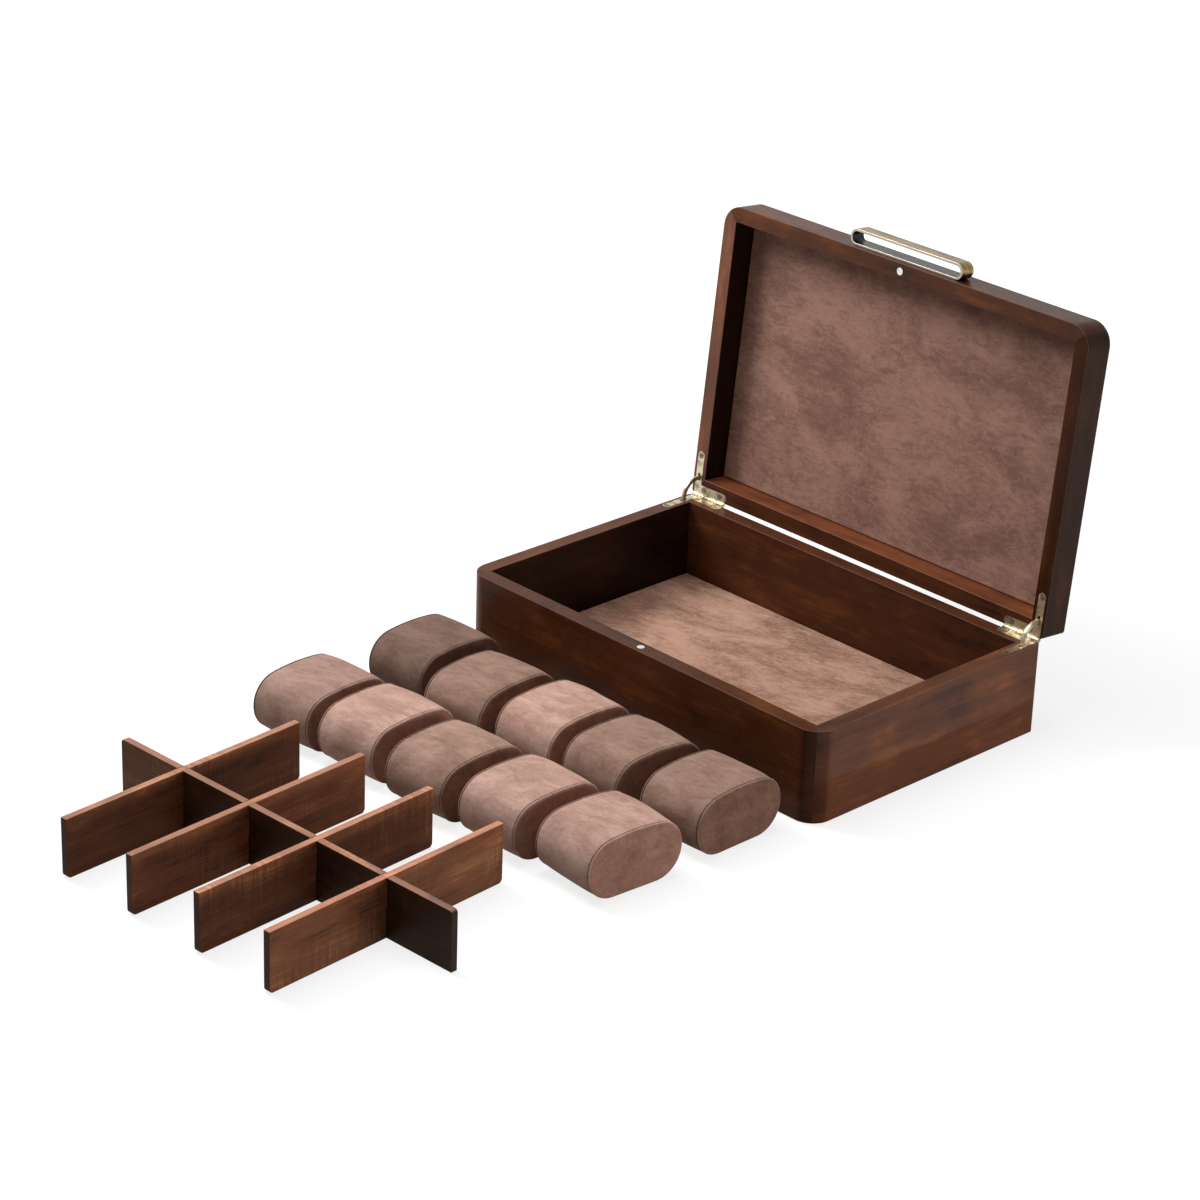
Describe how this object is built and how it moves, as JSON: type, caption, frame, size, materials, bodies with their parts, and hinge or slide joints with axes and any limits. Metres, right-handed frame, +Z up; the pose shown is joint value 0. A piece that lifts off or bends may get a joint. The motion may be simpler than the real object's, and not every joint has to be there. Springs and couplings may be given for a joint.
{
  "type": "watch box",
  "caption": "Wooden watch box with a hinged lid on quadrant hinges, a band handle, a lift-out divider grid and suede watch pillows, shown open and laid out.",
  "frame": {"origin": "middle of the underside of the box, on the surface that it stands on", "axes": "+X along the long front from left to right, +Y to the back where the hinges are, +Z up"},
  "size_m": [0.3251, 0.6369, 0.2831],
  "materials": {
    "walnut": "dark walnut stain, satin lacquer",
    "divider_walnut": "walnut, thin satin lacquer",
    "suede_lining": "brushed suede",
    "suede_brown": "brushed suede",
    "suede_rose": "brushed suede",
    "foam": "cut foam",
    "antique_brass": "brushed antique brass",
    "hinge_brass": "pale plated brass",
    "steel": "bright steel",
    "magnet": "nickel plate"
  },
  "bodies": {
    "root": {"base_front": "walnut", "base_right": "walnut", "base_back": "walnut", "base_left": "walnut", "base_bottom_panel": "walnut", "base_floor_pad": "suede_lining", "base_magnet": "magnet", "hinge_left_base_leaf": "hinge_brass", "hinge_left_base_screws": "hinge_brass", "hinge_left_pin": "steel", "hinge_right_base_leaf": "hinge_brass", "hinge_right_base_screws": "hinge_brass", "hinge_right_pin": "steel"},
    "lid": {"lid_front": "walnut", "lid_right": "walnut", "lid_back": "walnut", "lid_left": "walnut", "lid_top_panel": "walnut", "lid_lining_pad": "suede_lining", "lid_magnet": "magnet", "lid_handle": "antique_brass", "lid_handle_screws": "steel", "hinge_left_lid_leaf": "hinge_brass", "hinge_left_lid_screws": "hinge_brass", "hinge_right_lid_leaf": "hinge_brass", "hinge_right_lid_screws": "hinge_brass"},
    "left_stay": {"hinge_left_stay": "hinge_brass"},
    "right_stay": {"hinge_right_stay": "hinge_brass"},
    "long_divider": {"long_divider": "divider_walnut"},
    "cross_divider_1": {"cross_divider_1": "divider_walnut"},
    "cross_divider_2": {"cross_divider_2": "divider_walnut"},
    "cross_divider_3": {"cross_divider_3": "divider_walnut"},
    "cross_divider_4": {"cross_divider_4": "divider_walnut"},
    "pillow_1": {"pillow_1_cover": "suede_brown", "pillow_1_core": "foam"},
    "pillow_2": {"pillow_2_cover": "suede_brown", "pillow_2_core": "foam"},
    "pillow_3": {"pillow_3_cover": "suede_rose", "pillow_3_core": "foam"},
    "pillow_4": {"pillow_4_cover": "suede_brown", "pillow_4_core": "foam"},
    "pillow_5": {"pillow_5_cover": "suede_brown", "pillow_5_core": "foam"},
    "pillow_6": {"pillow_6_cover": "suede_rose", "pillow_6_core": "foam"},
    "pillow_7": {"pillow_7_cover": "suede_rose", "pillow_7_core": "foam"},
    "pillow_8": {"pillow_8_cover": "suede_brown", "pillow_8_core": "foam"},
    "pillow_9": {"pillow_9_cover": "suede_rose", "pillow_9_core": "foam"},
    "pillow_10": {"pillow_10_cover": "suede_rose", "pillow_10_core": "foam"}
  },
  "joints": [
    {"name": "lid_hinge", "type": "hinge", "parent": "root", "child": "lid", "pos_m": [0, 0.1052, 0.064], "axis": [1, 0, 0], "range_deg": [0, 95.8]},
    {"name": "left_stay_swing", "type": "hinge", "parent": "root", "child": "left_stay", "pos_m": [0, 0.1052, 0.064], "axis": [1, 0, 0], "range_deg": [0, 47.9]},
    {"name": "right_stay_swing", "type": "hinge", "parent": "root", "child": "right_stay", "pos_m": [0, 0.1052, 0.064], "axis": [1, 0, 0], "range_deg": [0, 47.9]},
    {"name": "long_divider_lift", "type": "slide", "parent": "root", "child": "long_divider", "axis": [0, 0, 1], "range_m": [0, 0.08]},
    {"name": "cross_divider_1_lift", "type": "slide", "parent": "long_divider", "child": "cross_divider_1", "axis": [0, 0, 1], "range_m": [0, 0.045]},
    {"name": "cross_divider_2_lift", "type": "slide", "parent": "long_divider", "child": "cross_divider_2", "axis": [0, 0, 1], "range_m": [0, 0.045]},
    {"name": "cross_divider_3_lift", "type": "slide", "parent": "long_divider", "child": "cross_divider_3", "axis": [0, 0, 1], "range_m": [0, 0.045]},
    {"name": "cross_divider_4_lift", "type": "slide", "parent": "long_divider", "child": "cross_divider_4", "axis": [0, 0, 1], "range_m": [0, 0.045]},
    {"name": "pillow_1_lift", "type": "slide", "parent": "root", "child": "pillow_1", "axis": [0, 0, 1], "range_m": [0, 0.08]},
    {"name": "pillow_2_lift", "type": "slide", "parent": "root", "child": "pillow_2", "axis": [0, 0, 1], "range_m": [0, 0.08]},
    {"name": "pillow_3_lift", "type": "slide", "parent": "root", "child": "pillow_3", "axis": [0, 0, 1], "range_m": [0, 0.08]},
    {"name": "pillow_4_lift", "type": "slide", "parent": "root", "child": "pillow_4", "axis": [0, 0, 1], "range_m": [0, 0.08]},
    {"name": "pillow_5_lift", "type": "slide", "parent": "root", "child": "pillow_5", "axis": [0, 0, 1], "range_m": [0, 0.08]},
    {"name": "pillow_6_lift", "type": "slide", "parent": "root", "child": "pillow_6", "axis": [0, 0, 1], "range_m": [0, 0.08]},
    {"name": "pillow_7_lift", "type": "slide", "parent": "root", "child": "pillow_7", "axis": [0, 0, 1], "range_m": [0, 0.08]},
    {"name": "pillow_8_lift", "type": "slide", "parent": "root", "child": "pillow_8", "axis": [0, 0, 1], "range_m": [0, 0.08]},
    {"name": "pillow_9_lift", "type": "slide", "parent": "root", "child": "pillow_9", "axis": [0, 0, 1], "range_m": [0, 0.08]},
    {"name": "pillow_10_lift", "type": "slide", "parent": "root", "child": "pillow_10", "axis": [0, 0, 1], "range_m": [0, 0.08]}
  ],
  "couplings": [
    {"joint": "left_stay_swing", "follows": "lid_hinge", "ratio": 0.5},
    {"joint": "right_stay_swing", "follows": "lid_hinge", "ratio": 0.5}
  ]
}
